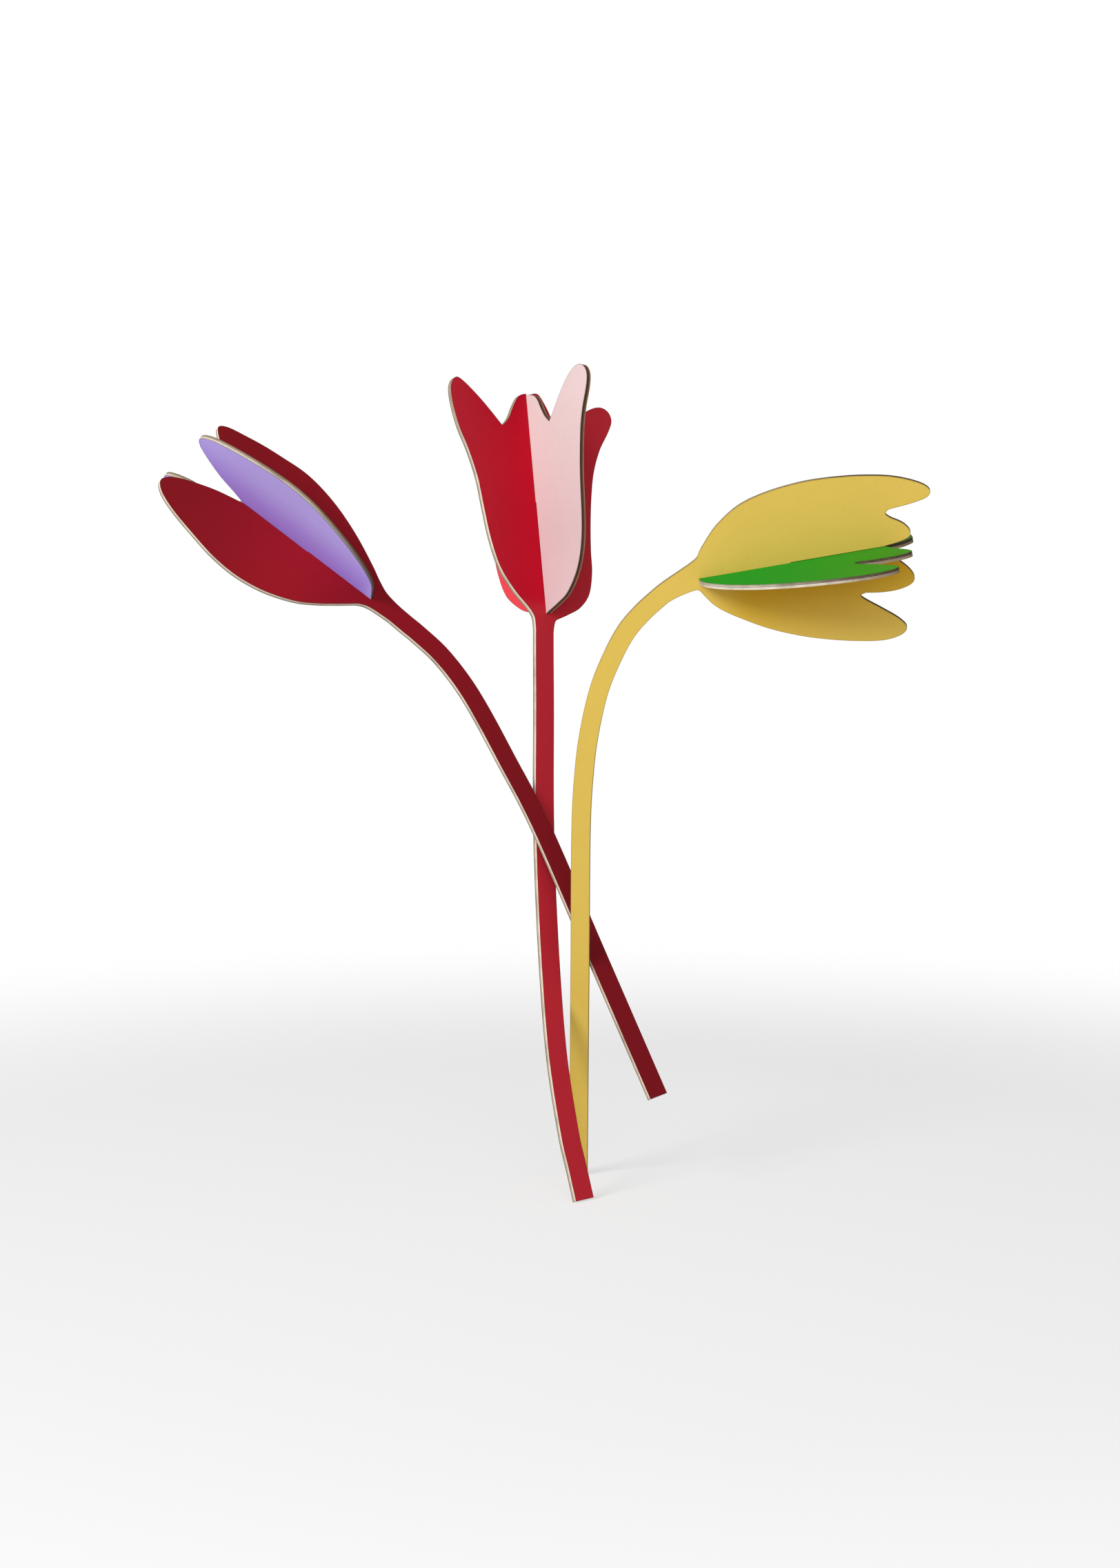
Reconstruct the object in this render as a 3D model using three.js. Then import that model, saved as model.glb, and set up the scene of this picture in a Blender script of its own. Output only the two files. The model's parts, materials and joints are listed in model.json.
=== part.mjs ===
// A set of three card tulips that lean on each other.
// Each tulip is two flat boards at right angles: a stem board and a petal board, slotted together
// along the middle line of the flower. Each board is two printed plies glued back to back.
// Millimetres, +Z up. The origin is in the foot of the centre stem.
import * as THREE from 'three';

const BOARD = 2.4;        // thickness of a finished board
const GLUE = 0.05;        // glue line between its two plies
const SLOT_PLAY = 0.15;   // clearance on each side of a board in a slot
const EDGE_STEPS = 5;     // straight steps in each span of a curved edge

const PLY = (BOARD - GLUE) / 2;
const SLOT = BOARD + 2 * SLOT_PLAY;

// Where each tulip stands: the base of its flower, measured from the centre one, and three angles.
// lean tips it to the right, nod tips it away, and turn spins it on its own middle line.
const CENTRE_PLACE = { base: [0, 0, 0], lean: -5.3, nod: 19.4, turn: 39.9 };
const LEFT_PLACE = { base: [-79.4, -28.9, 8.8], lean: -52, nod: -6.3, turn: 38 };
const RIGHT_PLACE = { base: [65.7, -96.6, 20.4], lean: 79.9, nod: -8.4, turn: 12.7 };

// Where two stems cross, the front one rests on the one behind. It stands forward by these shares
// of the board's thickness and of the two stems' widths.
const LEFT_REST = { board: 1.39, front: 0.12, behind: 0.21 };
const RIGHT_REST = { board: 1.28, front: 0.5, behind: 0.79 };

// Stems: the width, the middle line from just under the flower downwards, and the length of the
// straight run from the line's last point to the foot.
const CENTRE_STEM = {
  width: 10.4,
  line: [[-2.75, -8.5], [-4.1, -21], [-6.9, -48], [-11.4, -88], [-14.4, -123], [-16.6, -167],
    [-17, -208], [-14.2, -242], [-11.6, -257]],
  run: 15.2,
};
const LEFT_STEM = {
  width: 9.4,
  line: [[0.8, -12.9], [0.4, -19.8], [0.1, -26.8], [-1.4, -40.3], [-6, -55.5], [-12.9, -70.3],
    [-24.8, -91.5], [-42.8, -122.2], [-80.6, -176.2]],
  run: 65.9,
};
const RIGHT_STEM = {
  width: 8.4,
  line: [[3.6, -17.2], [9.6, -26.6], [16.8, -35.2], [26.5, -43], [40.3, -51.8], [58.2, -59.8],
    [76.5, -66], [104, -73.1], [166, -86.3], [233, -100.6]],
  run: 35.3,
};

// Flowers: the height of the tallest tip, the reach of the widest half, the crease, which is how far
// up the middle line the two boards cross, and the outlines, stretched to that height and reach.
// Each outline is half a flower, drawn to the right of the middle line. The side runs from the neck
// up round the tip and down to the notch; the lobe runs on from there to the top of the crease.
// The stem board has a left and a right half, and the petal board a front and a rear half.
const CENTRE_TIP = [[34.6, 54], [35.8, 64.6], [38.3, 78.9], [41.1, 88.1], [45, 96.9], [46.3, 103],
  [44.3, 107.6], [39.6, 109.5], [34, 107.6], [27.7, 102.6], [20.8, 95], [16.2, 89.8]];
const CENTRE_LOBE = [[13.2, 93.6], [11, 98], [9.3, 102.3], [7.6, 105], [5.4, 106.6], [2.8, 107.7]];
const CENTRE_FLOWER = {
  height: 110.3,
  reach: 50.3,
  crease: 108.8,
  left: {
    side: [[7.9, -4], [8.6, -1.2], [11.4, 2.4], [18.6, 9.6], [25.7, 20], [29.9, 33.5], [32.3, 48],
      [34.4, 62], [38.3, 75], [42.8, 86], [45.4, 97], [45.6, 105.5], [42.4, 110.3], [37.7, 108.9],
      [27.8, 101], [17.1, 90.4]],
    lobe: [[13, 94.8], [9.4, 101.6], [5.8, 106.8]],
  },
  right: {
    side: [[3.3, -5.4], [4.8, -2.6], [8.6, -0.8], [12.6, 1.1], [20, 5.3], [26.2, 12.6], [29.2, 23.7],
      [29.8, 35], [31.1, 48], [33.2, 62], [36.1, 74.7], [41.1, 86.7], [47.2, 96.3], [50.3, 102.8],
      [48.9, 107.3], [44.4, 109.1], [37.6, 107.1], [27.5, 100.4], [17.1, 90.4]],
    lobe: [[15.2, 93.8], [12.7, 98.8], [10.9, 102.7], [8.6, 106.6], [6.4, 109.3], [4.2, 109.7]],
  },
  front: {
    side: [[10.5, 2.4], [18, 5.3], [25.5, 12.7], [29.9, 21.3], [32.3, 30.6], [33.6, 41], ...CENTRE_TIP],
    lobe: CENTRE_LOBE,
  },
  rear: {
    side: [[6.2, 1.9], [10.7, 3.9], [17.2, 7.3], [25.3, 14.3], [28.9, 19.8], [31.3, 26.3], [33.2, 35],
      ...CENTRE_TIP],
    lobe: CENTRE_LOBE,
  },
};
const LEFT_FLOWER = {
  height: 107.2,
  reach: 34.5,
  crease: 71,
  left: {
    side: [[4.2, -6.7], [4.6, -2.5], [5.4, 0.7], [7, 3.7], [9.2, 6.2], [13.5, 11], [20.2, 18.9],
      [25.9, 27], [30.7, 37.6], [33.4, 47.5], [34.5, 58], [33.6, 69.5], [31, 81], [27.6, 93.4],
      [24.4, 101.4], [21.2, 105.8], [17.7, 107.2], [14.2, 105]],
    lobe: [[11.1, 100.3], [7.4, 92], [4.4, 83.6]],
  },
  right: {
    side: [[6.2, -8.5], [7.4, -3.8], [10.5, 1.9], [14.2, 7.5], [21.5, 20.3], [27.3, 33.4],
      [30.9, 45.6], [32.4, 57], [31.6, 68], [30.3, 79], [28.5, 88.3], [26.7, 96], [24.8, 99.8],
      [22.7, 100.8], [20, 99]],
    lobe: [[17.4, 96], [11.5, 86], [6, 77]],
  },
  front: {
    side: [[11, 4.5], [17.3, 12.5], [23, 23], [28.3, 36], [31.8, 48], [33.2, 60], [32, 73],
      [29.5, 85.5], [26.3, 96.5], [23, 102.5], [19.3, 104.6], [15.5, 102.3]],
    lobe: [[11.5, 96.5], [6.5, 87.4], [3, 77.8]],
  },
  rear: {
    side: [[11, 4.5], [17.3, 12.5], [23, 23], [28.3, 36], [31.8, 48], [33.2, 60], [32.3, 73],
      [30, 86], [27, 98], [24.4, 104.3], [21.4, 106.6], [18.6, 105.4], [16, 101.8]],
    lobe: [[13.4, 95.8], [11.8, 88.4], [9.2, 81.8], [6.8, 76.2]],
  },
};
const RIGHT_TIP = [[25.5, 25.3], [31, 37.9], [35, 50.6], [38, 63.7], [39.4, 75.2], [38.3, 83.7],
  [35.3, 86.8], [31, 83.8], [25.5, 76.8], [20.3, 69.6], [18.2, 68], [17.4, 70.3]];
const RIGHT_FLOWER = {
  height: 102.4,
  reach: 39.4,
  crease: 79.5,
  left: {
    side: [[2, -15.8], [5, -9.3], [8, -2.8], [10, 0.6], [12.6, 2.4], [15.4, 4.7], [22.5, 11.6],
      [29.4, 22.4], [33, 35], [34.7, 50], [34.5, 63], [33, 77], [30.3, 89.5], [26, 99.5],
      [22.3, 103.6], [19.3, 102.2], [17.8, 96], [17, 88], [16.6, 85], [15, 83.6], [13, 85.5]],
    lobe: [[9.7, 90.3], [5.8, 92.6], [3, 90.5]],
  },
  right: {
    side: [[5.7, -11.3], [4.6, -7], [3.8, -2.3], [4.5, -0.5], [8, 1.7], [12.6, 5.3], [18, 12.4],
      [25.5, 25], [31, 37.5], [35, 50], [38, 63], [39.4, 73.6], [38.3, 81.3], [35.3, 84.2],
      [31, 81.5], [25.5, 75.2], [20.3, 68.8], [18.2, 67.2], [17.4, 69.5]],
    lobe: [[18.4, 76.5], [18.4, 83.5], [17, 89], [14.6, 91], [11, 90], [6.5, 86.4]],
  },
  front: {
    side: [[6.5, 1.8], [11.5, 5.6], [18, 13], ...RIGHT_TIP],
    lobe: [[18.4, 77.4], [18.4, 84.6], [17, 90.3], [14.6, 92.4], [11, 90.2], [6.5, 85.8]],
  },
  rear: {
    side: [[6.5, 1.8], [11.5, 5.6], [18, 13], ...RIGHT_TIP],
    lobe: [[18.4, 77.4], [18, 83.9], [16, 88.6], [12.6, 91.4], [9, 92.6], [6, 92.6], [3.6, 90.6],
      [1.3, 87.2]],
  },
};

const radians = THREE.MathUtils.degToRad;
const point = ([x, y]) => new THREE.Vector2(x, y);
const mirrored = (p) => new THREE.Vector2(-p.x, p.y);

// A smooth edge through the points that are given.
function curve(points) {
  return new THREE.SplineCurve(points).getPoints(EDGE_STEPS * (points.length - 1));
}

// A stem's middle line down to its foot, the last run straight on from the points before it.
function stemLine(stem) {
  const line = stem.line.map(point);
  const [before, last] = line.slice(-2);
  const foot = last.clone().sub(before).setLength(stem.run).add(last);
  return [...line, foot];
}

// Both sides of a stem, each from the neck down to the foot.
function stemSides(stem) {
  const points = stemLine(stem);
  const line = new THREE.SplineCurve(points);
  const steps = EDGE_STEPS * (points.length - 1);
  const right = [];
  const left = [];
  for (let i = 0; i <= steps; i += 1) {
    const middle = line.getPoint(i / steps);
    const along = line.getTangent(i / steps);
    const across = new THREE.Vector2(-along.y, along.x).multiplyScalar(stem.width / 2);
    right.push(middle.clone().add(across));
    left.push(middle.clone().sub(across));
  }
  return { right, left };
}

// How far a flower's outlines are stretched from the size that they are drawn at.
function stretch(flower) {
  const halves = [flower.left, flower.right, flower.front, flower.rear];
  const drawn = halves.flatMap((half) => half.side.map(point));
  return new THREE.Vector2(
    flower.reach / Math.max(...drawn.map((p) => p.x)),
    flower.height / Math.max(...drawn.map((p) => p.y)),
  );
}

// One half of a flower's edge, from its start at the bottom to where it reaches the middle.
// The notch at the end of the side stays a corner.
function halfEdge(flower, half, start, middle) {
  const scale = stretch(flower);
  const place = (p) => point(p).multiply(scale);
  const side = curve([start, ...half.side.map(place)]);
  const end = new THREE.Vector2(middle, flower.crease);
  const lobe = curve([side[side.length - 1], ...half.lobe.map(place), end]);
  return [...side, ...lobe.slice(1)];
}

// The stem board: stem and flower in one outline, with the slot open at the top of the flower.
function stemBoard(stem, flower) {
  const sides = stemSides(stem);
  const floor = flower.crease / 2 - SLOT_PLAY;
  const right = halfEdge(flower, flower.right, sides.right[0], SLOT / 2);
  const left = halfEdge(flower, flower.left, mirrored(sides.left[0]), SLOT / 2).map(mirrored);
  return new THREE.Shape([
    ...sides.right.slice(1).reverse(),
    ...right,
    new THREE.Vector2(SLOT / 2, floor),
    new THREE.Vector2(-SLOT / 2, floor),
    ...left.reverse(),
    ...sides.left.slice(1),
  ]);
}

// The petal board: the flower alone, with the slot open at the bottom.
function petalBoard(flower) {
  const roof = flower.crease / 2 + SLOT_PLAY;
  const start = new THREE.Vector2(SLOT / 2, 0);
  const front = halfEdge(flower, flower.front, start, 0);
  const rear = halfEdge(flower, flower.rear, start, 0).map(mirrored);
  return new THREE.Shape([
    ...front,
    ...rear.reverse().slice(1),
    new THREE.Vector2(-SLOT / 2, roof),
    new THREE.Vector2(SLOT / 2, roof),
  ]);
}

// One ply of a board, standing upright. A front ply lies before the glue line and a back ply behind.
function ply(name, shape, inFront, colour) {
  const solid = new THREE.ExtrudeGeometry(shape, { depth: PLY, bevelEnabled: false });
  solid.translate(0, 0, inFront ? GLUE / 2 : -GLUE / 2 - PLY);
  solid.rotateX(Math.PI / 2);
  const paper = new THREE.MeshStandardMaterial({ color: colour, roughness: 0.75, metalness: 0 });
  const mesh = new THREE.Mesh(solid, paper);
  mesh.name = name;
  return mesh;
}

function board(name, shape, frontColour, backColour) {
  const group = new THREE.Group();
  group.name = name;
  group.add(ply(`${name}_front_ply`, shape, true, frontColour));
  group.add(ply(`${name}_back_ply`, shape, false, backColour));
  return group;
}

function placeAngles(place) {
  return new THREE.Euler(-radians(place.nod), radians(place.lean), radians(place.turn), 'YXZ');
}

function restStep(rest, front, behind) {
  return BOARD * rest.board + front.width * rest.front + behind.width * rest.behind;
}

// A whole tulip: the petal board stands square to the stem board on the flower's middle line.
function tulip(name, place, forward, stemShape, petalShape, colours) {
  const group = new THREE.Group();
  group.name = `${name}_tulip`;
  const stem = board(`${name}_stem`, stemShape, colours.stemFront, colours.stemBack);
  const petals = board(`${name}_petals`, petalShape, colours.petalFront, colours.petalBack);
  petals.rotation.z = -Math.PI / 2;
  group.add(stem, petals);
  group.position.set(...place.base);
  group.position.y -= forward;
  group.rotation.copy(placeAngles(place));
  return group;
}

const leftForward = restStep(LEFT_REST, LEFT_STEM, CENTRE_STEM);
const rightForward = leftForward + restStep(RIGHT_REST, RIGHT_STEM, LEFT_STEM);

const centre = tulip('centre', CENTRE_PLACE, 0,
  stemBoard(CENTRE_STEM, CENTRE_FLOWER), petalBoard(CENTRE_FLOWER),
  { stemFront: '#b01f30', stemBack: '#8f1c2a', petalFront: '#ebcbc9', petalBack: '#f0505a' });

const left = tulip('left', LEFT_PLACE, leftForward,
  stemBoard(LEFT_STEM, LEFT_FLOWER), petalBoard(LEFT_FLOWER),
  { stemFront: '#8c1722', stemBack: '#701620', petalFront: '#a692d2', petalBack: '#8f7ac0' });

const right = tulip('right', RIGHT_PLACE, rightForward,
  stemBoard(RIGHT_STEM, RIGHT_FLOWER), petalBoard(RIGHT_FLOWER),
  { stemFront: '#d6ba57', stemBack: '#c39f3c', petalFront: '#2d9626', petalBack: '#d9a531' });

// The whole set is moved so that the origin is in the foot of the centre stem's front ply.
const footPoint = stemLine(CENTRE_STEM).at(-1);
const foot = new THREE.Vector3(footPoint.x, -(GLUE + PLY) / 2, footPoint.y)
  .applyEuler(placeAngles(CENTRE_PLACE))
  .add(new THREE.Vector3(...CENTRE_PLACE.base));

const set = new THREE.Group();
set.name = 'paper_tulips';
set.add(centre, left, right);
set.position.copy(foot).negate();

export default set;
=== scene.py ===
"""Card tulips: three flowers, each of two printed boards slotted together, on a pale floor."""

from __future__ import annotations

import json
import logging
import math
from dataclasses import dataclass, field
from enum import Enum
from typing import Any, TypeVar

import bmesh
import bpy
import numpy as np
from mathutils import Matrix, Vector


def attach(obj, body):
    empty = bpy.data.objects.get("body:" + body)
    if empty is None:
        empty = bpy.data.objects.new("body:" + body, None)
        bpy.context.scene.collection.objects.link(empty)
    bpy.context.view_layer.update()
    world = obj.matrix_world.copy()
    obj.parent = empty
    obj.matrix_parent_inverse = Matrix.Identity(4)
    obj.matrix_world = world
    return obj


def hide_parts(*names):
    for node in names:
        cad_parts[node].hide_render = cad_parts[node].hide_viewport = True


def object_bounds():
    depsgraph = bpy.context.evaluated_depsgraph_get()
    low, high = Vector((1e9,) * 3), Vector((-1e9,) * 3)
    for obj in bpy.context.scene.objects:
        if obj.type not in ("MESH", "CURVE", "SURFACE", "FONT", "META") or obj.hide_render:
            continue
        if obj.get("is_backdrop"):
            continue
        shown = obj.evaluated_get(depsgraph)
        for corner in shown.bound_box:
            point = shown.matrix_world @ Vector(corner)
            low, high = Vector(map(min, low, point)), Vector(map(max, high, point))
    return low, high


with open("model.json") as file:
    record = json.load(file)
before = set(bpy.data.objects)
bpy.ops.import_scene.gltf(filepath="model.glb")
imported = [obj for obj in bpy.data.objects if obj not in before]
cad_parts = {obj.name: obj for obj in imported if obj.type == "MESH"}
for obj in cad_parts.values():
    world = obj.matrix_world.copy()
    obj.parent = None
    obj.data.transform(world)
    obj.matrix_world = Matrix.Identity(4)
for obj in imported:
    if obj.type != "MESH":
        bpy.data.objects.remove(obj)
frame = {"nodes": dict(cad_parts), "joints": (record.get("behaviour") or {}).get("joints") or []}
LOG = logging.getLogger("card_tulips")
MM = 0.001

Colour = tuple[float, float, float, float]
Finish = TypeVar("Finish")
WHITE: Colour = (1.0, 1.0, 1.0, 1.0)
BOARD_MAP = "board"
MATT_SPECULAR = 0.1


class Panel(Enum):
    """The two boards of one tulip."""

    STEM = "stem"
    PETALS = "petals"


class Layer(Enum):
    """The two plies of one board."""

    FRONT = "front"
    BACK = "back"


def ink(code: str) -> Colour:
    """Turn a written colour into the linear values that a shader takes, by the sRGB curve.

    Args:
        code: Six hexadecimal digits, red first.

    Returns:
        Linear red, green and blue, and 1 for alpha.
    """
    parts = [int(code[i:i + 2], 16) / 255 for i in (0, 2, 4)]
    linear = [p / 12.92 if p <= 0.04045 else ((p + 0.055) / 1.055) ** 2.4 for p in parts]
    return (linear[0], linear[1], linear[2], 1.0)


def shade(colour: Colour, amount: float) -> Colour:
    """Make a linear colour lighter or darker.

    Args:
        colour: Linear colour.
        amount: Factor on its red, green and blue.

    Returns:
        The changed colour, with alpha 1.
    """
    return (colour[0] * amount, colour[1] * amount, colour[2] * amount, 1.0)


@dataclass(frozen=True)
class Noise:
    """One noise: waves in a metre, finer octaves, and its scale along X, Y and Z."""

    scale: float
    detail: float = 2.0
    stretch: tuple[float, float, float] = (1.0, 1.0, 1.0)
    roughness: float = 0.55


CLOUD = Noise(26.0)
SPECK = Noise(520.0, 3.0)
FIBRE = Noise(900.0, 3.0, (1.0, 1.0, 0.28))
TOOTH = Noise(2300.0)
CUT_FIBRE = Noise(1500.0, 3.0)
BROWNING = Noise(95.0, 3.0)


class Wire:
    """A node socket that takes part in arithmetic."""

    def __init__(self, bench: Bench, socket: bpy.types.NodeSocket) -> None:
        """Keep the bench that the socket belongs to."""
        self.bench = bench
        self.socket = socket

    def out(self, name: str) -> Wire:
        """Give another output of the same node."""
        return Wire(self.bench, self.bench.find(self.socket.node.outputs, name))

    def _sum(self, operation: str, first: Any, second: Any) -> Wire:
        """Add one Math node."""
        return self.bench.add("ShaderNodeMath", {"operation": operation}, {0: first, 1: second})

    def __add__(self, other: Any) -> Wire:
        """Add a value."""
        return self._sum("ADD", self, other)

    def __radd__(self, other: Any) -> Wire:
        """Add to a value."""
        return self._sum("ADD", other, self)

    def __sub__(self, other: Any) -> Wire:
        """Take a value away."""
        return self._sum("SUBTRACT", self, other)

    def __rsub__(self, other: Any) -> Wire:
        """Take away from a value."""
        return self._sum("SUBTRACT", other, self)

    def __mul__(self, other: Any) -> Wire:
        """Multiply by a value."""
        return self._sum("MULTIPLY", self, other)

    def __lt__(self, other: Any) -> Wire:
        """Give 1 where this is the smaller."""
        return self._sum("LESS_THAN", self, other)

    def __gt__(self, other: Any) -> Wire:
        """Give 1 where this is the larger."""
        return self._sum("GREATER_THAN", self, other)


class Bench:
    """A node tree being wired, for a material, the world or Geometry Nodes."""

    def __init__(self, tree: bpy.types.NodeTree) -> None:
        """Start on a tree with no nodes in it."""
        self.tree = tree
        tree.nodes.clear()

    @staticmethod
    def find(sockets: Any, key: int | str) -> bpy.types.NodeSocket:
        """Look a socket up.

        Args:
            sockets: A node's inputs or outputs.
            key: Its place, its identifier or its name.

        Returns:
            The socket that is in use under that key.
        """
        if isinstance(key, int):
            return sockets[key]
        for socket in sockets:
            if socket.identifier == key and socket.enabled:
                return socket
        return next(s for s in sockets if s.name == key and s.enabled)

    def add(self, kind: str, settings: dict[str, Any] | None = None,
            sockets: dict[int | str, Any] | None = None, out: int | str = 0) -> Wire:
        """Add one node.

        Args:
            kind: The node's type.
            settings: Its settings, which are set first; "stops" are a ramp's stops.
            sockets: Values or wires for its inputs; a list joins several wires.
            out: The output to give back.

        Returns:
            The wire from that output, or from an input where it has no outputs.
        """
        node = self.tree.nodes.new(kind)
        for name, value in (settings or {}).items():
            if name == "stops":
                self._stops(node.color_ramp, value)
            else:
                setattr(node, name, value)
        for key, value in (sockets or {}).items():
            socket = self.find(node.inputs, key)
            for one in value if isinstance(value, list) else [value]:
                if isinstance(one, Wire):
                    self.tree.links.new(one.socket, socket)
                else:
                    socket.default_value = one
        ends = node.outputs if len(node.outputs) else node.inputs
        return Wire(self, self.find(ends, out))

    @staticmethod
    def _stops(ramp: bpy.types.ColorRamp, stops: list[tuple[float, Colour]]) -> None:
        """Set a ramp's stops.

        Args:
            ramp: The ramp of a Color Ramp node.
            stops: Place and colour of each stop, in order.
        """
        while len(ramp.elements) < len(stops):
            ramp.elements.new(0.5)
        for element, (place, colour) in zip(ramp.elements, stops):
            element.position = place
            element.color = colour

    def blend(self, amount: Any, first: Any, second: Any) -> Wire:
        """Mix two colours.

        Args:
            amount: 0 for the first colour, 1 for the second.
            first: Colour or wire.
            second: Colour or wire.

        Returns:
            The mixed colour.
        """
        return self.add("ShaderNodeMix", {"data_type": "RGBA"},
                        {"Factor_Float": amount, "A_Color": first, "B_Color": second},
                        "Result_Color")

    def scaled(self, vector: Any, amount: Any) -> Wire:
        """Multiply a vector or a colour.

        Args:
            vector: Vector, colour or wire.
            amount: Number or wire to multiply it by.

        Returns:
            The product.
        """
        start = vector[:3] if isinstance(vector, tuple) else vector
        return self.add("ShaderNodeVectorMath", {"operation": "SCALE"},
                        {"Vector": start, "Scale": amount}, "Vector")

    def ease(self, value: Wire, start: float, end: float, least: float = 0.0) -> Wire:
        """Go smoothly to 1 as a value goes from the start to the end.

        Args:
            value: The value to follow.
            start: Where the result is least.
            end: Where the result is 1; it may lie below the start.
            least: The result at the start and before it.

        Returns:
            The result.
        """
        (low, at_low), (high, at_high) = sorted([(start, least), (end, 1.0)])
        return self.add("ShaderNodeMapRange", {"interpolation_type": "SMOOTHSTEP"},
                        {"Value": value, "From Min": low, "From Max": high,
                         "To Min": at_low, "To Max": at_high})

    def grain(self, noise: Noise) -> Wire:
        """Add noise on Object coordinates.

        Args:
            noise: The noise.

        Returns:
            Values from 0 to 1.
        """
        place = self.add("ShaderNodeTexCoord", out="Object")
        turned = self.add("ShaderNodeMapping", {}, {"Vector": place, "Scale": noise.stretch})
        return self.add("ShaderNodeTexNoise", {},
                        {"Vector": turned, "Scale": noise.scale, "Detail": noise.detail,
                         "Roughness": noise.roughness})

    def stored(self, name: str) -> Wire:
        """Read a number that a ply's mesh stores, for a material."""
        return self.add("ShaderNodeAttribute", {"attribute_name": name}, out="Fac")

    def on_board(self) -> Wire:
        """Give the place on the flat board: X across the flower and Y along it."""
        board = self.add("ShaderNodeUVMap", {"uv_map": BOARD_MAP})
        return self.add("ShaderNodeSeparateXYZ", {}, {0: board}, "X")

    def seen(self) -> Wire:
        """Give 1 for the rays that show the stage, straight, mirrored or through something."""
        path = self.add("ShaderNodeLightPath", out="Is Camera Ray")
        return path + path.out("Is Glossy Ray") + path.out("Is Transmission Ray")

    def matt(self, colour: Wire, rough: Wire, bump: dict[str, Any]) -> None:
        """End a material in a matt surface.

        Args:
            colour: Its colour.
            rough: Its roughness.
            bump: Strength, distance and height of its bump.
        """
        normal = self.add("ShaderNodeBump", {}, bump)
        surface = self.add("ShaderNodeBsdfPrincipled", {},
                           {"Base Color": colour, "Roughness": rough, "Normal": normal,
                            "Specular IOR Level": MATT_SPECULAR})
        self.add("ShaderNodeOutputMaterial", {}, {"Surface": surface})


def new_material(name: str) -> tuple[bpy.types.Material, Bench]:
    """Start a material.

    Args:
        name: Its name.

    Returns:
        The material, and a bench on its empty tree.
    """
    material = bpy.data.materials.new(name)
    material.use_nodes = True
    return material, Bench(material.node_tree)


@dataclass(frozen=True)
class Paper:
    """How the sheet shows through the ink: in its light, its relief and its roughness."""

    light: float = 0.91
    cloud_light: float = 0.10
    speck_light: float = 0.05
    fibre_light: float = 0.04
    relief: float = 0.32
    relief_depth: float = 0.05 * MM
    cloud_height: float = 0.8
    fibre_height: float = 0.6
    tooth_height: float = 0.5
    rough: float = 0.48
    fibre_rough: float = 0.08
    tooth_rough: float = 0.05
    worn_rough: float = 0.15
    even_scorch: float = 0.5


@dataclass(frozen=True)
class PrintedFace:
    """Matt ink on paper, in one colour or with painted light and shade towards the fold, the tip
    or the foot.
    """

    name: str
    front: str
    behind: str = ""
    fold_shading: str = ""
    tip: str = ""
    foot_shade: str = ""
    fold_side: float = -1.0
    fold_width: float = 62.0 * MM
    fold_rise: float = 8.0 * MM
    tip_from: float = 21.0 * MM
    tip_to: float = 105.0 * MM
    foot_length: float = 110.0 * MM
    scorch: str = "3b261b"
    slot: float = 2.0 * MM
    paper: Paper = Paper()

    def make(self) -> bpy.types.Material:
        """Build the material.

        Returns:
            Ink with slow mottling, paper tooth and a scorched line along the cut.
        """
        material, bench = new_material(self.name)
        paper = self.paper
        cloud, speck = bench.grain(CLOUD), bench.grain(SPECK)
        fibre, tooth = bench.grain(FIBRE), bench.grain(TOOTH)
        across = bench.on_board()
        along = across.out("Y")
        light = (paper.light + cloud * paper.cloud_light + speck * paper.speck_light
                 + fibre * paper.fibre_light)
        tone = bench.scaled(self._colour(bench, across, along), light)
        in_slot = (across * across < self.slot**2) * (along > 0.0)
        wear = bench.stored("wear") * (1.0 - in_slot)
        patchy = paper.even_scorch + speck * (1.0 - paper.even_scorch)
        burnt = bench.blend(wear * patchy, tone, ink(self.scorch))
        rough = (paper.rough + fibre * paper.fibre_rough + tooth * paper.tooth_rough
                 + wear * paper.worn_rough)
        height = (fibre * paper.fibre_height + tooth * paper.tooth_height
                  + cloud * paper.cloud_height)
        bench.matt(burnt, rough, {"Strength": paper.relief, "Distance": paper.relief_depth,
                                  "Height": height})
        return material

    def _colour(self, bench: Bench, across: Wire, along: Wire) -> Any:
        """Shade the ink off, with painted light and shade by the fold, towards the tip and down
        the foot.

        Args:
            bench: The material's bench.
            across: Place across the flower.
            along: Place along the flower, from its base.

        Returns:
            The colour, plain or as a wire.
        """
        colour: Any = ink(self.front)
        # painted bounce light and painted shade: the ink turns deeper or lighter near the crease,
        # where the crossing board lights or shades the wing
        if self.fold_shading:
            aside = across * self.fold_side
            near = bench.ease(aside, self.fold_width, 0.0) * (aside > 0.0)
            up = bench.ease(along, 0.0, self.fold_rise)
            colour = bench.blend(near * up, colour, ink(self.fold_shading))
        # painted light and shade: the ink turns lighter or darker towards the tip
        if self.tip:
            up = bench.ease(along, self.tip_from, self.tip_to)
            colour = bench.blend(up, colour, ink(self.tip))
        # painted shadow: the stem darkens towards its foot, under the flower
        if self.foot_shade:
            down = bench.ease(0.0 - along, 0.0, self.foot_length)
            colour = bench.blend(down, colour, ink(self.foot_shade))
        if self.behind:
            colour = bench.blend(across < 0.0, colour, ink(self.behind))
        return colour


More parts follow.
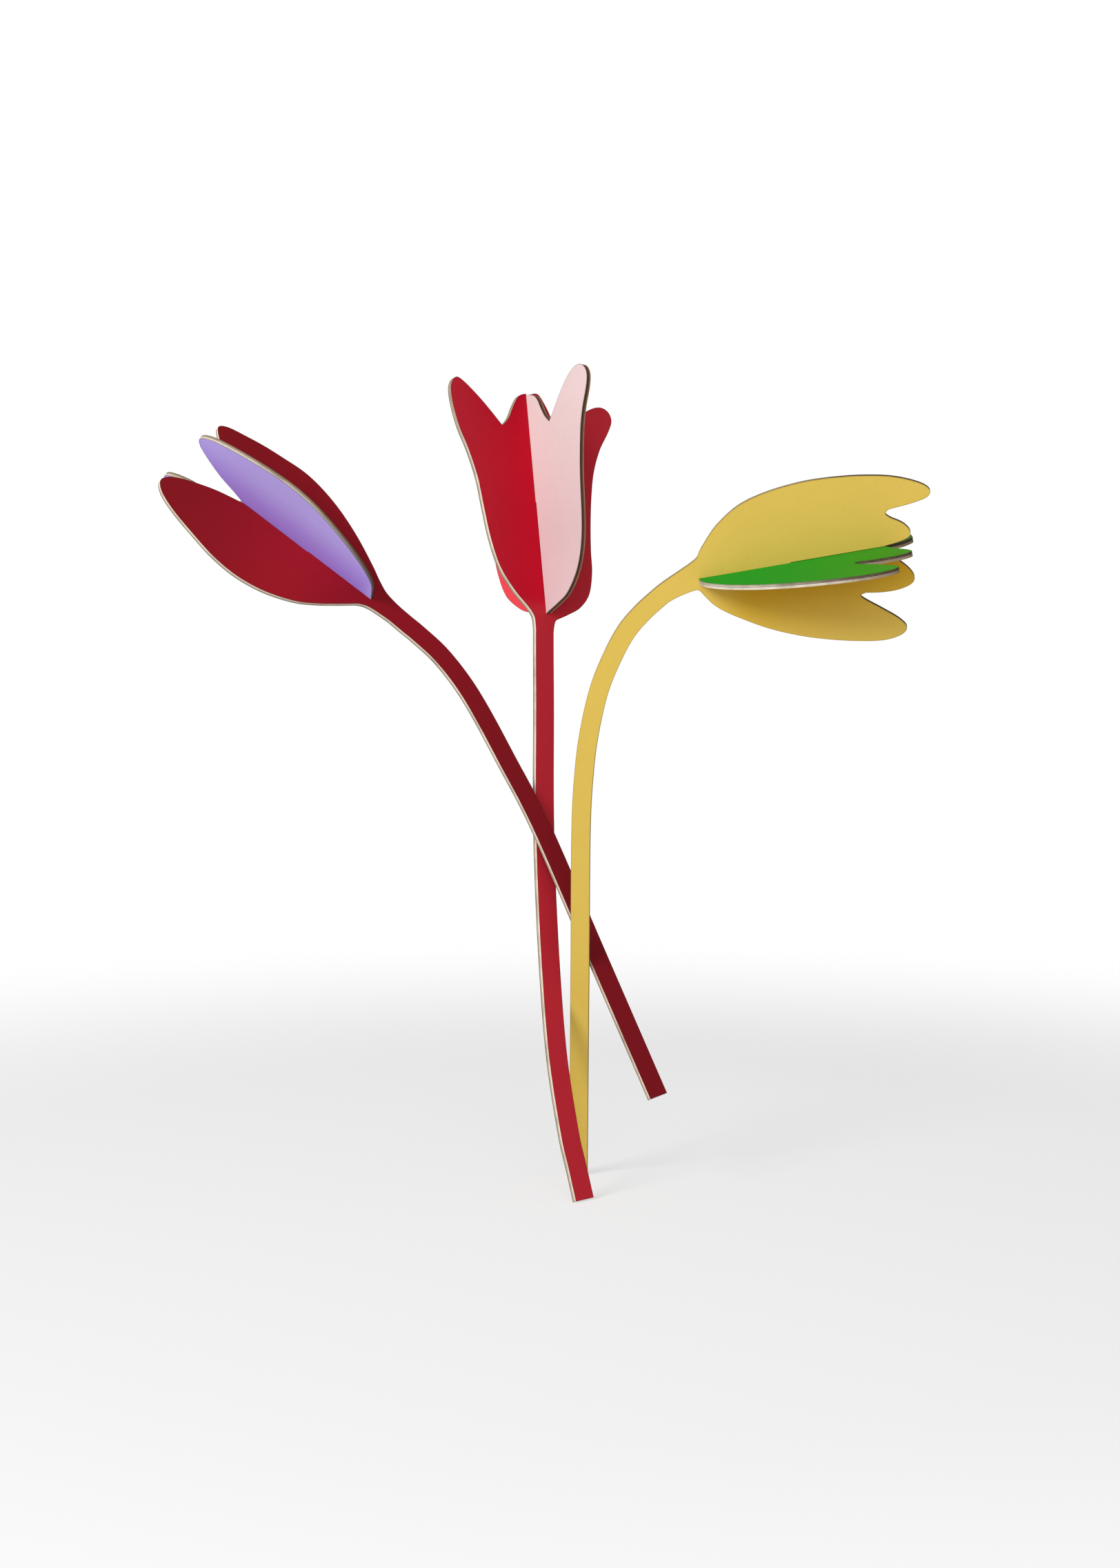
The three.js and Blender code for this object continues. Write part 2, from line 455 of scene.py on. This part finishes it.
@dataclass(frozen=True)
class CutEdge:
    """The cut through the sheets of a ply, in one tone by the glue and one by the print, with
    painted shade towards the tips or the base.
    """

    name: str
    core: str
    outer: str
    burn: str
    tip: str = ""
    tip_from: float = 42.0 * MM
    tip_to: float = 86.0 * MM
    tip_stray: float = 20.0 * MM
    seam: float = 0.78
    glue_burn: float = 0.8
    places: tuple[float, ...] = (0.0, 0.06, 0.29, 0.335, 0.38, 0.60, 0.665, 0.71, 0.87, 1.0)
    smoke_from: float = 0.42
    smoke_gain: float = 1.3
    tip_shade_base: float = 0.7
    fibre_tip_shade: float = 0.4
    light: float = 0.84
    fibre_light: float = 0.32
    rough: float = 0.78
    fibre_rough: float = 0.14
    relief: float = 0.5
    relief_depth: float = 0.09 * MM

    def make(self) -> bpy.types.Material:
        """Build the material.

        Returns:
            Pasted sheets with darker seams, fibres, uneven browning and, where given, painted
            shade towards the tips or the base.
        """
        material, bench = new_material(self.name)
        core, outer, burn = ink(self.core), ink(self.outer), ink(self.burn)
        colours = [shade(burn, self.glue_burn), core, core, shade(core, self.seam), core,
                   outer, shade(outer, self.seam), outer, outer, burn]
        sheets = bench.add("ShaderNodeValToRGB", {"stops": list(zip(self.places, colours))},
                           {"Fac": bench.stored("depth")}, "Color")
        fibre, smoke = bench.grain(CUT_FIBRE), bench.grain(BROWNING)
        browned_and_shaded = bench.blend((smoke - self.smoke_from) * self.smoke_gain, sheets, burn)
        # painted shade: the cut darkens towards the tips, or towards the base where tip_to lies
        # below tip_from
        if self.tip:
            along = bench.on_board().out("Y")
            near = bench.ease(along + smoke * self.tip_stray, self.tip_from, self.tip_to)
            tip_shade_share = near * (self.tip_shade_base + fibre * self.fibre_tip_shade)
            browned_and_shaded = bench.blend(tip_shade_share, browned_and_shaded, ink(self.tip))
        tone = bench.scaled(browned_and_shaded, self.light + fibre * self.fibre_light)
        bench.matt(tone, self.rough + fibre * self.fibre_rough,
                   {"Strength": self.relief, "Distance": self.relief_depth, "Height": fibre})
        return material


@dataclass(frozen=True)
class Ring:
    """One line round a ply's edge, as shares of the ply's named sizes."""

    inset: dict[str, float]
    height: dict[str, float]
    depth: float
    printed: bool = False
    wear: float = 0.0


@dataclass(frozen=True)
class PlyTree:
    """Geometry Nodes that grow a ply from its outline: edge rings, glue face and printed face."""

    print_round: float = 0.12 * MM
    glue_round: float = 0.08 * MM
    groove: float = 0.03 * MM
    wear_width: float = 0.24 * MM
    weld: float = 0.002 * MM
    sheets: int = 3
    round_steps: int = 4
    bare_round: float = 0.25
    glue_depth: float = 0.05
    seam_depth: float = 0.02
    print_depth: float = 0.9

    def values(self, thickness: float) -> dict[str, float]:
        """Give the value of each named size.

        Args:
            thickness: Thickness of the ply.

        Returns:
            Sizes in metres, under the names of the tree's inputs.
        """
        return {"Thickness": thickness, "Print round": self.print_round,
                "Glue round": self.glue_round, "Groove": self.groove,
                "Wear width": self.wear_width}

    def rings(self) -> list[Ring]:
        """List the lines round the edge.

        Returns:
            Rings from the glue face, past the seams between the sheets, to the printed face.
        """
        lines = [Ring({"Glue round": 1.0}, {}, 0.0),
                 Ring({}, {"Glue round": 1.0}, self.glue_depth)]
        for sheet in range(1, self.sheets):
            share = sheet / self.sheets
            for side in (-1.0, 0.0, 1.0):
                lines.append(Ring({"Groove": 1.0 - abs(side)},
                                  {"Thickness": share, "Groove": side},
                                  share + self.seam_depth * side))
        for step in range(self.round_steps + 1):
            turned = step / self.round_steps
            angle = math.radians(90.0 * turned)
            lines.append(Ring({"Print round": 1 - math.cos(angle)},
                              {"Thickness": 1.0, "Print round": math.sin(angle) - 1},
                              self.print_depth + (1.0 - self.print_depth) * turned,
                              turned > self.bare_round, turned))
        lines.append(Ring({"Print round": 1.0, "Wear width": 1.0}, {"Thickness": 1.0}, 1.0, True))
        return lines

    def grow(self) -> bpy.types.NodeTree:
        """Build the tree.

        Returns:
            The tree, with an input for each named size and for the two materials.
        """
        tree = self._sockets()
        bench = Bench(tree)
        inputs = bench.add("NodeGroupInput", out="Outline")
        rings = self.rings()
        mesh = self._lay(inputs, inputs, True, rings[0])
        glue = self._note(self._fill(mesh, True), True, rings[0])
        chosen: Any = True
        for ring in rings[1:]:
            grown = bench.add("GeometryNodeExtrudeMesh", {"mode": "EDGES"},
                              {"Mesh": mesh, "Selection": chosen, "Offset Scale": 0.0}, "Mesh")
            chosen = grown.out("Top")
            marked = self._mark(grown, grown.out("Side"), ring.printed)
            mesh = self._lay(inputs, marked, chosen, ring)
        rise = bench.add("ShaderNodeCombineXYZ", {}, {"Z": inputs.out("Thickness")})
        face = bench.add("GeometryNodeSetPosition", {},
                         {"Geometry": self._fill(mesh, chosen), "Offset": rise})
        face = self._mark(self._note(face, True, rings[-1]), True, True)
        whole = bench.add("GeometryNodeJoinGeometry", {}, {"Geometry": [face, glue, mesh]})
        whole = bench.add("GeometryNodeMergeByDistance", {},
                          {"Geometry": whole, "Distance": self.weld})
        whole = bench.add("GeometryNodeRealizeInstances", {}, {"Geometry": whole})
        printed = self._read(bench, "printed", "BOOLEAN")
        for finish, where in (("Edge", True), ("Print", printed)):
            whole = bench.add("GeometryNodeSetMaterial", {},
                              {"Geometry": whole, "Selection": where,
                               "Material": inputs.out(finish)})
        bench.add("NodeGroupOutput", {}, {"Ply": whole}, "Ply")
        return tree

    def _sockets(self) -> bpy.types.NodeTree:
        """Start the tree.

        Returns:
            A tree with its inputs and its output, and nothing between them.
        """
        tree = bpy.data.node_groups.new("cut_card_ply", "GeometryNodeTree")
        kinds = {"Outline": "Geometry", **dict.fromkeys(self.values(0.0), "Float"),
                 "Print": "Material", "Edge": "Material"}
        for name, kind in kinds.items():
            tree.interface.new_socket(name, in_out="INPUT", socket_type="NodeSocket" + kind)
        tree.interface.new_socket("Ply", in_out="OUTPUT", socket_type="NodeSocketGeometry")
        return tree

    @staticmethod
    def _total(inputs: Wire, shares: dict[str, float]) -> Any:
        """Add up shares of the named sizes.

        Args:
            inputs: A wire from the tree's inputs.
            shares: How much of each size counts.

        Returns:
            The sum as a wire, or 0 where nothing counts.
        """
        result: Any = 0.0
        for size, share in shares.items():
            result = inputs.out(size) * share + result
        return result

    def _lay(self, inputs: Wire, mesh: Wire, chosen: Any, ring: Ring) -> Wire:
        """Move points to a ring and note what the ring is.

        Args:
            inputs: A wire from the tree's inputs.
            mesh: Geometry that holds the points.
            chosen: Which points.
            ring: The ring to lay them on.

        Returns:
            The changed geometry.
        """
        bench = inputs.bench
        step = bench.scaled(self._read(bench, "inward"), self._total(inputs, ring.inset))
        rise = bench.add("ShaderNodeCombineXYZ", {}, {"Z": self._total(inputs, ring.height)})
        spot = self._read(bench, "trace")
        for move in (step, rise):
            spot = bench.add("ShaderNodeVectorMath", {"operation": "ADD"}, {0: spot, 1: move})
        moved = bench.add("GeometryNodeSetPosition", {},
                          {"Geometry": mesh, "Selection": chosen, "Position": spot})
        return self._note(moved, chosen, ring)

    @staticmethod
    def _read(bench: Bench, name: str, kind: str = "FLOAT_VECTOR") -> Wire:
        """Read what the geometry stores under a name."""
        return bench.add("GeometryNodeInputNamedAttribute", {"data_type": kind},
                         {"Name": name}, "Attribute")

    @staticmethod
    def _fill(mesh: Wire, chosen: Any) -> Wire:
        """Fill a closed ring of edges with a flat face."""
        loop = mesh.bench.add("GeometryNodeMeshToCurve", {}, {"Mesh": mesh, "Selection": chosen})
        return mesh.bench.add("GeometryNodeFillCurve", {}, {"Curve": loop})

    @staticmethod
    def _mark(mesh: Wire, chosen: Any, printed: bool) -> Wire:
        """Store on faces whether they are printed."""
        return mesh.bench.add("GeometryNodeStoreNamedAttribute",
                              {"data_type": "BOOLEAN", "domain": "FACE"},
                              {"Geometry": mesh, "Selection": chosen, "Name": "printed",
                               "Value": printed})

    @staticmethod
    def _note(mesh: Wire, chosen: Any, ring: Ring) -> Wire:
        """Store a ring's depth and wear on its points.

        Args:
            mesh: Geometry to note on.
            chosen: Which points.
            ring: The ring they lie on.

        Returns:
            The noted geometry.
        """
        for name, value in (("depth", ring.depth), ("wear", ring.wear)):
            mesh = mesh.bench.add("GeometryNodeStoreNamedAttribute",
                                  {"data_type": "FLOAT", "domain": "POINT"},
                                  {"Geometry": mesh, "Selection": chosen, "Name": name,
                                   "Value": value})
        return mesh


@dataclass
class Outline:
    """A closed flat line, smoothed between its corners and its long straight runs."""

    points: np.ndarray
    corner: float = 28.0
    straight: float = 20.0 * MM
    step: float = 0.7 * MM

    def smooth(self) -> np.ndarray:
        """Round the chords off.

        Returns:
            Points about one step apart on curves through the given ones.
        """
        points = self.points
        count = len(points)
        ahead = np.roll(points, -1, 0) - points
        length = np.linalg.norm(ahead, axis=1)
        along = ahead / length[:, None]
        before = np.roll(along, 1, 0)
        bend = np.degrees(np.arccos(np.clip((before * along).sum(1), -1, 1)))
        weight = np.roll(length, 1)
        sharp = (bend > self.corner) | (np.maximum(length, weight) > self.straight)
        tangent = (before * length[:, None] + along * weight[:, None]) / (length + weight)[:, None]
        line: list[np.ndarray] = []
        for i in range(count):
            j = (i + 1) % count
            start = along[i] if sharp[i] else tangent[i]
            end = along[i] if sharp[j] else tangent[j]
            pieces = max(1, int(round(length[i] / self.step)))
            for k in range(pieces):
                t = k / pieces
                line.append((2 * t**3 - 3 * t**2 + 1) * points[i]
                            + (t**3 - 2 * t**2 + t) * length[i] * start
                            + (3 * t**2 - 2 * t**3) * points[j]
                            + (t**3 - t**2) * length[i] * end)
        return np.array(line)

    @staticmethod
    def inward(line: np.ndarray, sharpest: float = 0.25) -> np.ndarray:
        """Find the way in from each point.

        Args:
            line: Points in order, the inside on the left.
            sharpest: Lowest divisor, which keeps the vector at a sharp corner short.

        Returns:
            Vectors that move the two edges at a point inwards by one.
        """
        ahead = np.roll(line, -1, 0) - line
        ahead /= np.linalg.norm(ahead, axis=1)[:, None]
        side = np.stack([-ahead[:, 1], ahead[:, 0]], 1)
        last = np.roll(side, 1, 0)
        return (side + last) / np.maximum(1 + (side * last).sum(1), sharpest)[:, None]


@dataclass
class Ply:
    """One printed ply of a board, set on the solid that it stands for."""

    node: str
    body: str
    slot: str
    along: Vector
    partner: str
    crossing: str
    face: PrintedFace
    edge: CutEdge
    tree: bpy.types.NodeTree
    sizes: PlyTree
    place: Matrix = field(default_factory=Matrix)
    thickness: float = 0.0
    weld: float = 0.001 * MM
    flat: float = 0.999

    def measure(self) -> np.ndarray:
        """Find the ply's own frame and its outline in it.

        Returns:
            Outline points, the inside on the left, seen from the printed side.
        """
        mine, other = self.corners(self.node), self.corners(self.partner)
        mesh = frame["nodes"][self.node].data
        widest = max(mesh.polygons, key=lambda polygon: polygon.area)
        facing = widest.normal.copy().normalized()
        if facing.dot(Vector((mine.mean(0) - other.mean(0)).tolist())) < 0:
            facing.negate()
        along = (self.along - facing * self.along.dot(facing)).normalized()
        across = along.cross(facing)
        rise = mine @ np.array(facing)
        self.thickness = float(rise.max() - rise.min())
        crossing = self.corners(self.crossing)
        middle = crossing @ np.array(across)
        base = max((mine @ np.array(along)).min(), (crossing @ np.array(along)).min())
        origin = facing * float(rise.min()) + along * float(base)
        origin += across * float((middle.max() + middle.min()) / 2)
        self.place = Matrix((across, along, facing)).transposed().to_4x4()
        self.place.translation = origin
        return self.edge_line(mesh)

    @staticmethod
    def corners(node: str) -> np.ndarray:
        """Give a node's points in metres."""
        return np.array([v.co for v in frame["nodes"][node].data.vertices], float)

    def edge_line(self, mesh: bpy.types.Mesh) -> np.ndarray:
        """Walk round the printed side of the solid.

        Args:
            mesh: The solid's mesh.

        Returns:
            Flat points in the ply's own frame.
        """
        work = bmesh.new()
        work.from_mesh(mesh)
        bmesh.ops.remove_doubles(work, verts=work.verts, dist=self.weld)
        inverse = self.place.inverted()
        middle = self.thickness / 2
        top = {f for f in work.faces if all((inverse @ v.co).z > middle for v in f.verts)}
        rim = [e for e in work.edges if sum(f in top for f in e.link_faces) == 1]
        links: dict[int, list[bmesh.types.BMVert]] = {}
        for edge in rim:
            first, second = edge.verts
            links.setdefault(first.index, []).append(second)
            links.setdefault(second.index, []).append(first)
        start = rim[0].verts[0]
        walk, last, here = [start], start, links[start.index][0]
        while here is not start:
            walk.append(here)
            ways = links[here.index]
            last, here = here, ways[1] if ways[0] is last else ways[0]
        line = np.array([(inverse @ v.co)[:2] for v in walk])
        work.free()
        turn = np.roll(line, -1, 0)
        if (line[:, 0] * turn[:, 1] - line[:, 1] * turn[:, 0]).sum() < 0:
            line = line[::-1]
        return line

    def build(self) -> bpy.types.Object:
        """Grow the ply's mesh from its outline.

        Returns:
            The dressed piece, in place.
        """
        piece = bpy.data.objects.new(self.node + "_card", self.trace())
        bpy.context.scene.collection.objects.link(piece)
        modifier = piece.modifiers.new("cut", "NODES")
        modifier.node_group = self.tree
        values = {**self.sizes.values(self.thickness),
                  "Print": self.face.make(), "Edge": self.edge.make()}
        for item in self.tree.interface.items_tree:
            if item.in_out == "INPUT" and item.name in values:
                modifier[item.identifier] = values[item.name]
        graph = bpy.context.evaluated_depsgraph_get()
        grown = bpy.data.meshes.new_from_object(
            piece.evaluated_get(graph), preserve_all_data_layers=True, depsgraph=graph)
        piece.modifiers.clear()
        piece.data = grown
        self.finish_mesh(grown)
        self.dress(piece)
        return piece

    def trace(self) -> bpy.types.Mesh:
        """Draw the smoothed outline.

        Returns:
            A closed line of edges that stores each point's place and its way in.
        """
        line = Outline(self.measure()).smooth()
        count = len(line)
        mesh = bpy.data.meshes.new(self.node)
        mesh.from_pydata([(x, y, 0.0) for x, y in line],
                         [(i, (i + 1) % count) for i in range(count)], [])
        for name, values in (("trace", line), ("inward", Outline.inward(line))):
            store = mesh.attributes.new(name, "FLOAT_VECTOR", "POINT")
            store.data.foreach_set("vector", np.pad(values, ((0, 0), (0, 1))).ravel())
        return mesh

    def finish_mesh(self, mesh: bpy.types.Mesh) -> None:
        """Map the flat board, turn the faces outwards and put the mesh in place.

        Args:
            mesh: The grown mesh, still in the ply's own frame.
        """
        work = bmesh.new()
        work.from_mesh(mesh)
        bmesh.ops.recalc_face_normals(work, faces=work.faces)
        board = work.loops.layers.uv.new(BOARD_MAP)
        for face in work.faces:
            face.smooth = abs(face.normal.z) < self.flat
            for loop in face.loops:
                loop[board].uv = loop.vert.co.xy
        for edge in work.edges:
            edge.smooth = all(f.smooth for f in edge.link_faces)
        work.to_mesh(mesh)
        work.free()
        for name in ("trace", "inward", "printed"):
            if name in mesh.attributes:
                mesh.attributes.remove(mesh.attributes[name])
        mesh.transform(self.place)
        mesh.update()

    def dress(self, piece: bpy.types.Object) -> None:
        """Hang the piece on its body and hide the solid that it stands for.

        Args:
            piece: The ply's piece.
        """
        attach(piece, self.body)
        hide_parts(self.node)


@dataclass
class Tulip:
    """One tulip: a stem board with two wings, and a petal board across it."""

    name: str
    faces: dict[tuple[Panel, Layer], PrintedFace]
    edges: dict[tuple[Panel, Layer], CutEdge]

    def build(self, tree: bpy.types.NodeTree, sizes: PlyTree) -> list[bpy.types.Object]:
        """Build the four plies.

        Args:
            tree: The tree that grows a ply.
            sizes: Sizes of a ply's edge.

        Returns:
            The pieces.
        """
        slide = next(j for j in frame["joints"] if j["name"] == f"{self.name}_petals_slide")
        along = Vector(slide["axis"]).normalized()
        made = []
        for panel in Panel:
            across = Panel.PETALS if panel is Panel.STEM else Panel.STEM
            for layer in Layer:
                behind = Layer.BACK if layer is Layer.FRONT else Layer.FRONT
                ply = Ply(node=self.ply(panel, layer), body=f"{self.name}_{panel.value}",
                          slot=f"{self.name}_{panel.value}_{layer.value}", along=along,
                          partner=self.ply(panel, behind),
                          crossing=self.ply(across, Layer.FRONT),
                          face=self.faces[panel, layer], edge=self.edges[panel, layer],
                          tree=tree, sizes=sizes)
                made.append(ply.build())
        return made

    def ply(self, panel: Panel, layer: Layer) -> str:
        """Name a ply's solid."""
        return f"{self.name}_{panel.value}_{layer.value}_ply"


@dataclass(frozen=True)
class Lamp:
    """A soft square light: its place and side in metres, and its power in watts."""

    name: str
    place: tuple[float, float, float]
    side: float
    power: float


@dataclass
class Studio:
    """The pale floor, the soft lights and the camera."""

    floor_size: float = 6.0
    floor_gap: float = 0.05 * MM
    floor_grey: float = 0.9
    floor_white: float = 0.6
    white_from: float = 0.30
    white_to: float = 0.75
    camera_place: tuple[float, float, float] = (-0.0107, -1.3313, 0.3248)
    camera_drop: float = 6.0
    focal_pixels: float = 4450.0
    long_side: float = 2273.0
    sensor: float = 36.0
    sky: float = 0.22
    aim: tuple[float, float, float] = (0.0, 0.03, 0.25)
    lamps: tuple[Lamp, ...] = (Lamp("key", (-1.25, -1.25, 1.25), 0.8, 29.0),
                               Lamp("front", (0.1, -1.9, 0.95), 1.2, 12.0))

    def build(self) -> None:
        """Set the whole studio up."""
        bpy.context.scene.view_settings.view_transform = "Standard"
        self.world()
        self.floor()
        for lamp in self.lamps:
            self.light(lamp)
        self.camera()

    def world(self) -> None:
        """Fill the studio with even light from a sky that the camera sees as white."""
        world = bpy.data.worlds.new("studio")
        world.use_nodes = True
        bpy.context.scene.world = world
        bench = Bench(world.node_tree)
        dim, white = (bench.add("ShaderNodeBackground", {}, {"Color": WHITE, "Strength": power})
                      for power in (self.sky, 1.0))
        mixed = bench.add("ShaderNodeMixShader", {}, {0: bench.seen(), 1: dim, 2: white})
        bench.add("ShaderNodeOutputWorld", {}, {"Surface": mixed})

    def floor(self) -> None:
        """Lay a floor that takes the shadow and runs out into white."""
        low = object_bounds()[0].z - self.floor_gap
        half = self.floor_size / 2
        mesh = bpy.data.meshes.new("floor")
        mesh.from_pydata([(-half, -half, low), (half, -half, low), (half, half, low),
                          (-half, half, low)], [], [(0, 1, 2, 3)])
        floor = bpy.data.objects.new("floor", mesh)
        bpy.context.scene.collection.objects.link(floor)
        material, bench = new_material("pale_floor")
        place = bench.add("ShaderNodeTexCoord", out="Object")
        away = bench.add("ShaderNodeVectorMath", {"operation": "LENGTH"}, {0: place}, "Value")
        far = bench.ease(away, self.white_from, self.white_to, self.floor_white)
        matt = bench.add("ShaderNodeBsdfDiffuse", {},
                         {"Color": shade(WHITE, self.floor_grey)})
        white = bench.add("ShaderNodeEmission", {}, {"Color": WHITE, "Strength": 1.0})
        mixed = bench.add("ShaderNodeMixShader", {}, {0: far * bench.seen(), 1: matt, 2: white})
        bench.add("ShaderNodeOutputMaterial", {}, {"Surface": mixed})
        mesh.materials.append(material)
        floor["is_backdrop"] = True

    def light(self, lamp: Lamp) -> None:
        """Hang one light, turned to the flowers.

        Args:
            lamp: The light.
        """
        data = bpy.data.lights.new(lamp.name, "AREA")
        data.shape = "SQUARE"
        data.size = lamp.side
        data.energy = lamp.power
        holder = bpy.data.objects.new(lamp.name, data)
        holder.location = lamp.place
        way = Vector(self.aim) - Vector(lamp.place)
        holder.rotation_euler = way.to_track_quat("-Z", "Y").to_euler()
        bpy.context.scene.collection.objects.link(holder)

    def camera(self) -> None:
        """Set the camera at the photograph's place and angle."""
        data = bpy.data.cameras.new("camera")
        data.sensor_width = self.sensor
        data.lens = self.focal_pixels * self.sensor / self.long_side
        camera = bpy.data.objects.new("camera", data)
        camera.location = self.camera_place
        camera.rotation_euler = (math.radians(90 - self.camera_drop), 0.0, 0.0)
        bpy.context.scene.collection.objects.link(camera)
        bpy.context.scene.camera = camera


# The tip colours below are painted shade: cut edges that darken towards the tips, or towards the
# base where tip_to is 0.
CREAM = CutEdge("cream_core", "f2e3d0", "ecd9c4", "80604a")
LINEN = CutEdge("linen_core", "f2e3d0", "ecd9c4", "80604a", tip="a38f79",
                tip_from=84.0 * MM, tip_to=104.0 * MM)
GREY = CutEdge("grey_core", "c9b8a2", "887865", "6a5645")
BROWN = CutEdge("brown_core", "5d4433", "523a2b", "33231a")
TAN = CutEdge("tan_core", "73543f", "b38d74", "76543f")
ASH = CutEdge("ash_core", "cdc4b2", "b3a792", "5f4b39", tip="3f2d1d", tip_from=24.0 * MM)
BONE = CutEdge("bone_core", "e0d7c5", "ddd2be", "6b5643", tip="8d7761", tip_from=60.0 * MM)
STRAW = CutEdge("straw_core", "a8977a", "94836a", "7d6748", tip="4a3725", tip_from=58.0 * MM)
CREAM_SHADED_BASE = CutEdge("cream_shaded_base_core", "e9dac4", "d9c7ae", "6f5a47", tip="5d4f3c",
                tip_from=72.0 * MM, tip_to=0.0)
GREY_SHADED_BASE = CutEdge("grey_shaded_base_core", "b5a48d", "7f705c", "5f4f40", tip="40352a",
               tip_from=72.0 * MM, tip_to=0.0)
PALE_SCORCH = "8f7440"


def by_ply(stem: Finish, stem_back: Finish, petals: Finish,
           petals_back: Finish) -> dict[tuple[Panel, Layer], Finish]:
    """List the prints or the cut edges of a tulip's four plies.

    Args:
        stem: That of the stem board's front ply.
        stem_back: That of its back ply.
        petals: That of the petal board's front ply.
        petals_back: That of its back ply.

    Returns:
        The print or the edge of each ply.
    """
    return {
        (Panel.STEM, Layer.FRONT): stem,
        (Panel.STEM, Layer.BACK): stem_back,
        (Panel.PETALS, Layer.FRONT): petals,
        (Panel.PETALS, Layer.BACK): petals_back,
    }


def bunch() -> list[Tulip]:
    """List the tulips.

    Returns:
        The three tulips with their prints and cut edges.
    """
    return [
        Tulip("centre",
              # scarlet: the fold colour is painted bounce light from the blush petals, a deeper
              # red by the crease
              by_ply(PrintedFace("scarlet_ink", "c22735", fold_shading="bf0022"),
                     PrintedFace("scarlet_back_ink", "ad1729"),
                     # blush: the tip colour leaves the base darker, which is painted shade
                     PrintedFace("blush_ink", "d6b8ba", tip="e1c9c8", behind="f64a55"),
                     PrintedFace("coral_back_ink", "ee5560")),
              by_ply(LINEN, GREY, BROWN, TAN)),
        Tulip("left",
              # wine: the fold colour is painted bounce light from the lilac, the tip colour
              # painted shade, the foot colour painted shadow down the stem
              by_ply(PrintedFace("wine_ink", "8b101e", fold_shading="a21523", tip="801019", foot_shade="7a0f19",
                                 fold_width=90.0 * MM, fold_rise=45.0 * MM),
                     PrintedFace("wine_back_ink", "840f1b"),
                     # lilac: the fold colour is painted shade, a deeper violet by the crease
                     PrintedFace("lilac_ink", "b2a0e3", fold_shading="a282df", fold_side=1.0,
                                 fold_width=25.0 * MM),
                     PrintedFace("lilac_back_ink", "a590d6")),
              by_ply(CREAM, GREY, CREAM_SHADED_BASE, GREY_SHADED_BASE)),
        Tulip("right",
              # yellow: the fold colour is the painted shadow of the green petals, a deeper gold on
              # the lower wing by the crease
              by_ply(PrintedFace("yellow_ink", "d8b854", fold_shading="c59808", fold_side=1.0,
                                 fold_width=42.0 * MM, fold_rise=22.0 * MM, scorch=PALE_SCORCH),
                     PrintedFace("yellow_back_ink", "cba946", scorch=PALE_SCORCH),
                     # green: the tip colour is painted reflected light from the yellow board,
                     # yellower towards the tip
                     PrintedFace("green_ink", "009620", tip="3e911c"),
                     PrintedFace("gold_back_ink", "d9a531", scorch=PALE_SCORCH)),
              by_ply(STRAW, STRAW, ASH, BONE)),
    ]


def main() -> None:
    """Build the three tulips and the studio."""
    logging.basicConfig(level=logging.INFO, format="%(message)s")
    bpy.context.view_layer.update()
    sizes = PlyTree()
    tree = sizes.grow()
    for tulip in bunch():
        for piece in tulip.build(tree, sizes):
            LOG.info("%s: %d faces", piece.name, len(piece.data.polygons))
    Studio().build()


if __name__ == "__main__":
    main()
